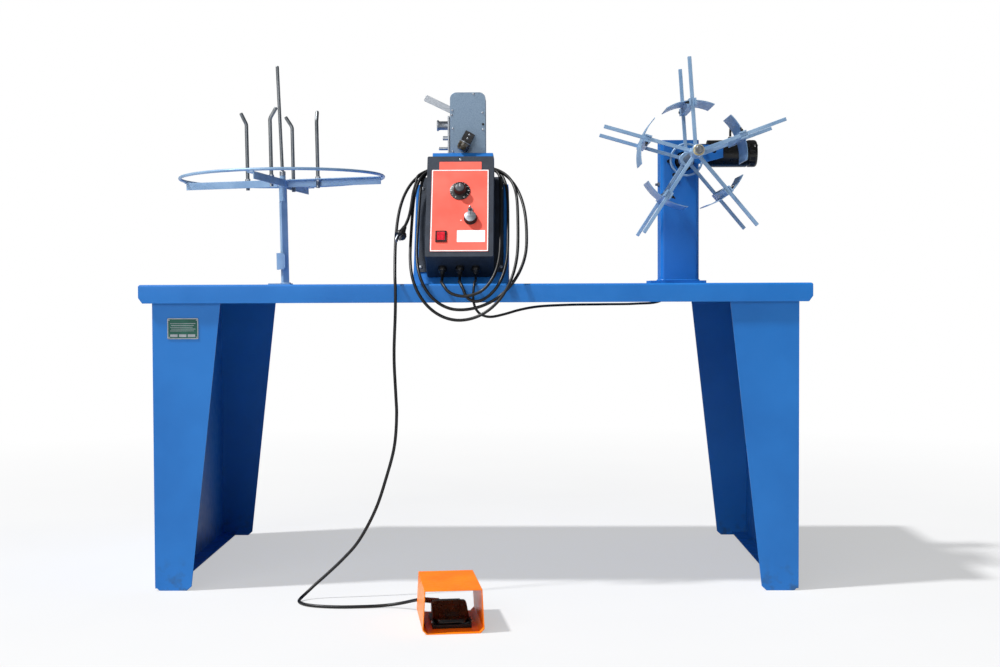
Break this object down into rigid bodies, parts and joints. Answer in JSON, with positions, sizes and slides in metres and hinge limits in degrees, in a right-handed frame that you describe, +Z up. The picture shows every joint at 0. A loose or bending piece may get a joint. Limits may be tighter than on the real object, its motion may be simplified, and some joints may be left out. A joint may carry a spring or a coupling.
{
  "type": "cable measuring and coiling machine",
  "caption": "Bench machine that draws wire from a pay-off turntable through a length counter and winds it on an expanding driven coiling head, with a guarded foot switch.",
  "frame": {"origin": "on the floor, in the middle of the footprint of the bench and its foot switch", "axes": "+X to the operator's right along the bench, +Y from the operator to the back, +Z up"},
  "size_m": [1.829, 1.4066, 1.4999],
  "materials": {
    "blue_paint": "satin powder coat",
    "sky_paint": "satin grey-blue paint",
    "hammertone": "hammered grey-blue paint",
    "charcoal_paint": "fine textured dark paint",
    "orange_paint": "gloss orange paint",
    "black_metal": "satin black paint",
    "bare_steel": "drawn steel bar, slightly dull",
    "bright_metal": "zinc plated or turned steel",
    "brass": "dull brass",
    "black_plastic": "moulded black plastic",
    "coral_label": "printed coral film",
    "red_lens": "clear red moulding",
    "green_label": "printed dark green foil",
    "circuit_board": "green board with a finned sink",
    "rubber": "black rubber or soft plastic"
  },
  "bodies": {
    "root": {"bench_top": "blue_paint", "cable_grommet": "rubber", "left_leg": "blue_paint", "right_leg": "blue_paint", "data_plate": "green_label", "payoff_post": "sky_paint", "console_pedestal": "blue_paint", "enclosure_cover": "charcoal_paint", "enclosure_back": "charcoal_paint", "face_panel": "coral_label", "drive_board": "circuit_board", "rocker_bezel": "black_plastic", "mains_gland": "black_plastic", "foot_gland": "black_plastic", "motor_gland": "black_plastic", "meter_front_plate": "hammertone", "meter_rear_plate": "hammertone", "meter_end_plate": "bright_metal", "inlet_guide": "bright_metal", "wheel_sensor": "black_plastic", "column": "blue_paint", "gearbox": "black_metal", "motor_can": "black_metal", "motor_end_cap": "black_metal", "motor_strain_relief": "rubber", "foot_guard": "orange_paint", "foot_base": "black_metal", "foot_cord_relief": "rubber", "cord_coil": "rubber", "power_plug": "rubber", "foot_cord": "rubber", "motor_cord": "rubber"},
    "turntable": {"hub_sleeve": "sky_paint", "turntable_spoke_1": "sky_paint", "turntable_spoke_2": "sky_paint", "turntable_spoke_3": "sky_paint", "turntable_spoke_4": "sky_paint", "upright_pin_1": "bare_steel", "upright_pin_2": "bare_steel", "upright_pin_3": "bare_steel", "upright_pin_4": "bare_steel", "turntable_ring": "sky_paint", "spool_spindle": "bare_steel"},
    "rotor": {"drive_shaft": "bare_steel", "rear_spider": "sky_paint"},
    "front_head": {"front_spider": "sky_paint"},
    "nut": {"hand_nut": "brass"},
    "winding_shoe_1": {"shoe_1": "sky_paint"},
    "winding_shoe_2": {"shoe_2": "sky_paint"},
    "winding_shoe_3": {"shoe_3": "sky_paint"},
    "winding_shoe_4": {"shoe_4": "sky_paint"},
    "winding_shoe_5": {"shoe_5": "sky_paint"},
    "counting_wheel": {"measuring_wheel": "bright_metal"},
    "nip_lever": {"release_lever": "bright_metal"},
    "nip_wheel": {"pressure_wheel": "rubber"},
    "dial": {"speed_dial": "black_plastic"},
    "selector": {"selector_knob": "bright_metal"},
    "toggle": {"toggle_lever": "bright_metal"},
    "rocker": {"rocker_key": "red_lens"},
    "treadle": {"foot_treadle": "black_plastic"}
  },
  "joints": [
    {"name": "turntable_spin", "type": "hinge", "parent": "root", "child": "turntable", "pos_m": [-0.588, 0.24635, 0.838], "axis": [-0.0183, 0.0105, 0.9998], "continuous": true},
    {"name": "coiler_spin", "type": "hinge", "parent": "root", "child": "rotor", "pos_m": [0.613, 0.13935, 1.201], "axis": [0, 1, 0], "continuous": true},
    {"name": "front_head_slide", "type": "slide", "parent": "rotor", "child": "front_head", "axis": [0, -1, 0], "range_m": [0, 0.12]},
    {"name": "hand_nut_turn", "type": "hinge", "parent": "front_head", "child": "nut", "pos_m": [0.613, -0.16065, 1.201], "axis": [0, 1, 0], "continuous": true},
    {"name": "shoe_1_slide", "type": "slide", "parent": "rotor", "child": "winding_shoe_1", "axis": [-0.0698, 0, 0.9976], "range_m": [-0.03, 0.11]},
    {"name": "shoe_2_slide", "type": "slide", "parent": "rotor", "child": "winding_shoe_2", "axis": [-0.9613, 0, 0.2756], "range_m": [-0.03, 0.11]},
    {"name": "shoe_3_slide", "type": "slide", "parent": "rotor", "child": "winding_shoe_3", "axis": [-0.5446, 0, -0.8387], "range_m": [-0.03, 0.11]},
    {"name": "shoe_4_slide", "type": "slide", "parent": "rotor", "child": "winding_shoe_4", "axis": [0.6428, 0, -0.766], "range_m": [-0.03, 0.11]},
    {"name": "shoe_5_slide", "type": "slide", "parent": "rotor", "child": "winding_shoe_5", "axis": [0.9397, 0, 0.342], "range_m": [-0.03, 0.11]},
    {"name": "measuring_wheel_spin", "type": "hinge", "parent": "root", "child": "counting_wheel", "pos_m": [-0.028, 0.15435, 1.267], "axis": [0, 1, 0], "continuous": true},
    {"name": "release_lever_lift", "type": "hinge", "parent": "root", "child": "nip_lever", "pos_m": [-0.064, 0.13035, 1.342], "axis": [0, -1, 0], "range_deg": [0, 15], "stiffness_Nm_per_rad": 3, "springref_deg": -6.88},
    {"name": "pressure_wheel_spin", "type": "hinge", "parent": "nip_lever", "child": "nip_wheel", "pos_m": [-0.028, 0.15435, 1.334], "axis": [0, 1, 0], "continuous": true},
    {"name": "speed_dial_turn", "type": "hinge", "parent": "root", "child": "dial", "pos_m": [-0.042, -0.10917, 1.09533], "axis": [0, 0.891, -0.454], "range_deg": [0, 300]},
    {"name": "selector_turn", "type": "hinge", "parent": "root", "child": "selector", "pos_m": [-0.014, -0.14958, 1.01602], "axis": [0, 0.891, -0.454], "range_deg": [-45, 45]},
    {"name": "toggle_tilt", "type": "hinge", "parent": "root", "child": "toggle", "pos_m": [-0.013, -0.13642, 1.04186], "axis": [1, 0, 0], "range_deg": [-14, 14]},
    {"name": "rocker_tilt", "type": "hinge", "parent": "root", "child": "rocker", "pos_m": [-0.092, -0.17544, 0.96747], "axis": [1, 0, 0], "range_deg": [-8, 8]},
    {"name": "treadle_press", "type": "hinge", "parent": "root", "child": "treadle", "pos_m": [-0.04491, -0.63612, 0.018], "axis": [-0.9914, -0.1305, 0], "range_deg": [0, 6], "stiffness_Nm_per_rad": 15, "springref_deg": -4.01}
  ]
}
